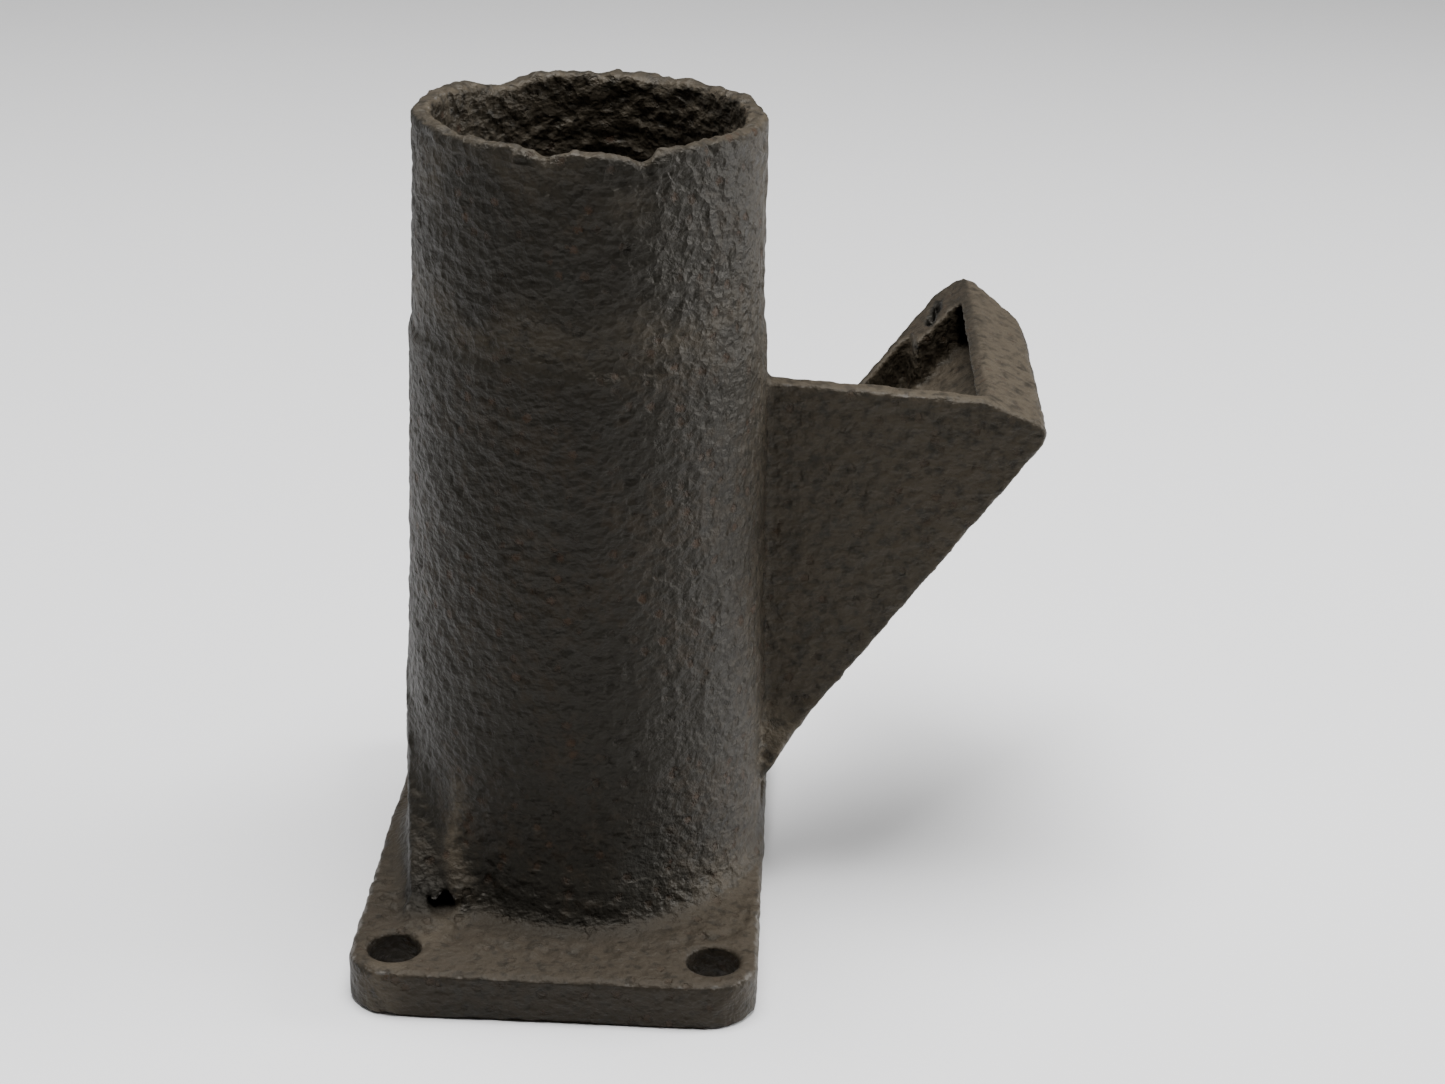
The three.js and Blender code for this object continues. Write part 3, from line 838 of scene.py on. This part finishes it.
def cast_iron(name, brown, dust, rust, dented):
    """Sand-cast iron: dark oxide, brown film, rusty pits, pale dust on what faces up and worn edges, with
    painted shade in the creases and the painted light, sheen, highlights and shade that the masks carry.
    """
    material = bpy.data.materials.new(name)
    nodes = Nodes(material)
    where = nodes.add("ShaderNodeTexCoord").outputs["Object"]
    geometry = nodes.add("ShaderNodeNewGeometry")
    facing = nodes.add("ShaderNodeSeparateXYZ")
    nodes.link(geometry.outputs["Normal"], facing.inputs[0])
    wear_and_highlight, film_and_light, polish_and_sheen, darkening_and_shade = (nodes.trait(name) for name in TRAITS)

    patches = nodes.noise(where, 24, 4.0, 0.6)
    mottle = nodes.noise(where, 3.0, 4.0, 0.65)
    grain = nodes.noise(where, 0.8, 3.0, 0.6)
    grit = nodes.noise(where, 1.5, 2.0, 0.5, stretch=(1, 1, 1.3))
    creases = nodes.noise(where, 2.8, 1.5, 0.5, stretch=(1, 1, 1.5))
    pit_cells = nodes.cells(where, 4.6)
    bent = nodes.add("ShaderNodeMixRGB", blend_type="LINEAR_LIGHT")
    bent.inputs["Fac"].default_value = 0.0012
    nodes.link(where, bent.inputs["Color1"])
    nodes.link(nodes.noise(where, 3.5, 2.0, 0.5, output="Color"), bent.inputs["Color2"])
    dents = nodes.cells(bent.outputs[0], 2.7)
    bowls = nodes.math("MULTIPLY", dents, dents)

    brown_share = nodes.math("MULTIPLY", patches, 0.9)
    brown_share = nodes.math("ADD", brown_share, nodes.math("MULTIPLY", mottle, 0.8))
    brown_mask = nodes.ramp(brown_share, 1.10 - brown * 0.6, 1.30 - brown * 0.6)
    colour = nodes.mix(brown_mask, DARK_OXIDE, BROWN_OXIDE)

    cool = nodes.math("ADD", nodes.noise(where, 15, 3.0), nodes.math("MULTIPLY", grain, 0.4))
    # random cool tone, and painted sheen where the rubbed patches are
    cool_and_sheen_mask = nodes.math("MAXIMUM", nodes.math("MULTIPLY", nodes.ramp(cool, 0.76, 0.98), 0.6), polish_and_sheen)
    colour = nodes.mix(cool_and_sheen_mask, colour, BLUE_GREY_AND_SHEEN)

    # tan film, and painted light where the film mask lifts shaded or side-lit places
    film_and_light_mask = nodes.math("MULTIPLY", film_and_light, nodes.ramp(mottle, 0.26, 0.56))
    colour = nodes.mix(film_and_light_mask, colour, TAN_FILM_AND_LIGHT)

    ragged = nodes.math("MULTIPLY", nodes.math("SUBTRACT", grain, 0.5), 0.35)
    ragged = nodes.math("ADD", pit_cells, ragged)
    pitted = nodes.ramp(ragged, 0.30, 0.13)
    rusty = nodes.math("MULTIPLY", pitted, nodes.ramp(patches, 0.40, 0.58))
    colour = nodes.mix(nodes.math("MULTIPLY", rusty, rust), colour, RUST)

    upward = nodes.ramp(facing.outputs["Z"], 0.35, 1.0)
    dust_break = nodes.math("ADD", nodes.math("MULTIPLY", mottle, 1.1), 0.35, clamp=True)
    dust_mask = nodes.math("MULTIPLY", nodes.math("MULTIPLY", upward, dust_break), dust)
    colour = nodes.mix(dust_mask, colour, DUST)

    # painted shade in the relief's creases, together with the darkening mask
    crease_shade_and_darkening = nodes.math("MAXIMUM", nodes.math("MULTIPLY", nodes.ramp(creases, 0.46, 0.30), 0.5), darkening_and_shade)
    colour = nodes.mix(crease_shade_and_darkening, colour, DARK_AND_SHADE)

    broken = nodes.math("MULTIPLY", nodes.math("SUBTRACT", mottle, 0.5), 0.45)
    # worn edges, and painted highlights on the foot's rough band
    worn_and_highlit = nodes.ramp(nodes.math("ADD", wear_and_highlight, broken), 0.22, 0.32)
    colour = nodes.mix(nodes.math("MULTIPLY", worn_and_highlit, 0.55), colour, BARE_IRON_AND_HIGHLIGHT)

    shader = nodes.add("ShaderNodeBsdfPrincipled")
    shader.inputs["Specular IOR Level"].default_value = 0.25
    shader.inputs["Specular Tint"].default_value = (1.0, 0.93, 0.82, 1)
    nodes.link(colour, shader.inputs["Base Color"])
    rough = nodes.math("ADD", 0.40, nodes.math("MULTIPLY", mottle, 0.28))
    rough = nodes.math("ADD", rough, nodes.math("MULTIPLY", dust_mask, 0.25))
    rough = nodes.math("SUBTRACT", rough, nodes.math("MULTIPLY", polish_and_sheen, 0.15), clamp=True)
    nodes.link(rough, shader.inputs["Roughness"])
    nodes.link(nodes.math("MULTIPLY", worn_and_highlit, 0.2), shader.inputs["Metallic"])

    relief = nodes.math("ADD", nodes.math("MULTIPLY", creases, 0.3 + 0.5 * dented),
                        nodes.math("MULTIPLY", grain, 0.16))
    relief = nodes.math("ADD", relief, nodes.math("MULTIPLY", bowls, 0.8 * dented))
    relief = nodes.math("ADD", relief, nodes.math("MULTIPLY", grit, 0.45))
    relief = nodes.math("SUBTRACT", relief, nodes.math("MULTIPLY", pitted, 0.25))
    bump = nodes.add("ShaderNodeBump")
    bump.inputs["Strength"].default_value = 1.0
    bump.inputs["Distance"].default_value = 1.1 * MM
    nodes.link(relief, bump.inputs["Height"])
    nodes.link(bump.outputs[0], shader.inputs["Normal"])
    output = nodes.add("ShaderNodeOutputMaterial")
    nodes.link(shader.outputs[0], output.inputs["Surface"])
    return material


def plain_material(name, colour, roughness):
    material = bpy.data.materials.new(name)
    nodes = Nodes(material)
    shader = nodes.add("ShaderNodeBsdfPrincipled")
    shader.inputs["Base Color"].default_value = colour
    shader.inputs["Roughness"].default_value = roughness
    output = nodes.add("ShaderNodeOutputMaterial")
    nodes.link(shader.outputs[0], output.inputs["Surface"])
    return material


# ---- stage, camera and light ------------------------------------------------------------------
LIGHTS = [                                       # name, place and size in metres, and power in watts
    ("ceiling", (-0.04, -0.04, 1.4), (1.0, 0.7), 46),
    ("left_window", (-1.3, 0.40, 0.55), (1.0, 0.8), 4),
    ("right_window", (1.35, 0.25, 0.50), (0.6, 0.8), 25),
]
FLOOR_REACH = 4.0                                # in metres
LENS = 63.53                                     # millimetres, on a sensor 36 mm wide
CAMERA_PLACE = (45.14, -538.74, 313.99)          # in millimetres from the pipe's axis
CAMERA_DOWN = 0.39709                            # these three are in radians
CAMERA_TURN = 0.02611
CAMERA_ROLL = 0.02967


def add_plane(name, corners, material):
    mesh = bpy.data.meshes.new(name)
    mesh.from_pydata(corners, [], [(0, 1, 2, 3)])
    mesh.materials.append(material)
    plane = bpy.data.objects.new(name, mesh)
    bpy.context.scene.collection.objects.link(plane)


def make_stage():
    """A plain pale floor. There is no wall: the world's light shows past the floor's end."""
    floor_material = plain_material("pale_floor", (0.80, 0.80, 0.81, 1), 0.45)
    corners = [(x * FLOOR_REACH, y * FLOOR_REACH, 0) for x, y in ((-1, -1), (1, -1), (1, 1), (-1, 1))]
    add_plane("floor", corners, floor_material)


def make_camera():
    """The camera stands in front of the pipe, a little to its right, and looks down at it."""
    data = bpy.data.cameras.new("camera")
    data.sensor_width = 36
    data.lens = LENS
    camera = bpy.data.objects.new("camera", data)
    bpy.context.scene.collection.objects.link(camera)
    camera.matrix_world = (
        Matrix.Translation(AXIS + Vector(CAMERA_PLACE) * MM)
        @ Matrix.Rotation(CAMERA_TURN, 4, "Z")
        @ Matrix.Rotation(math.pi / 2 - CAMERA_DOWN, 4, "X")
        @ Matrix.Rotation(CAMERA_ROLL, 4, "Z")
    )
    bpy.context.scene.camera = camera


def add_light(name, place, target, size, power):
    data = bpy.data.lights.new(name, "AREA")
    data.shape = "RECTANGLE"
    data.size, data.size_y = size
    data.energy = power
    light = bpy.data.objects.new(name, data)
    light.location = place
    light.rotation_euler = (Vector(target) - Vector(place)).to_track_quat("-Z", "Y").to_euler()
    bpy.context.scene.collection.objects.link(light)


def make_light():
    middle = (AXIS.x, AXIS.y, 0.08)
    for name, place, size, power in LIGHTS:
        add_light(name, place, middle, size, power)
    world = bpy.data.worlds.new("room")
    world.use_nodes = True
    background = world.node_tree.nodes["Background"]
    background.inputs["Color"].default_value = (1.0, 0.98, 0.94, 1)
    background.inputs["Strength"].default_value = 0.11
    bpy.context.scene.world = world


# ---- putting it together ----------------------------------------------------------------------
FINISHES = {
    "cast_iron_barrel": cast_iron("barrel_iron", brown=0.45, dust=0.5, rust=0.8, dented=0.4),
    "upper_spigot": cast_iron("spigot_iron", brown=0.3, dust=0.25, rust=0.9, dented=0.7),
    "cast_iron_flange": cast_iron("flange_iron", brown=0.75, dust=0.5, rust=0.5, dented=0.1),
    "cast_iron_arm": cast_iron("arm_iron", brown=0.55, dust=0.4, rust=0.5, dented=0.15),
}


def make_pieces():
    slots = {entry["node"]: entry["material_slot"] for entry in frame["record"]["subparts"]}
    for node, solid in features_of(make_casting()).items():
        piece = mesh_object(node + "_cast", solid)
        piece.data.materials.append(FINISHES.get(node, FINISHES[slots[node]]))
        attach(piece, "root")
        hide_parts(node)


make_camera()
make_pieces()
make_stage()
make_light()
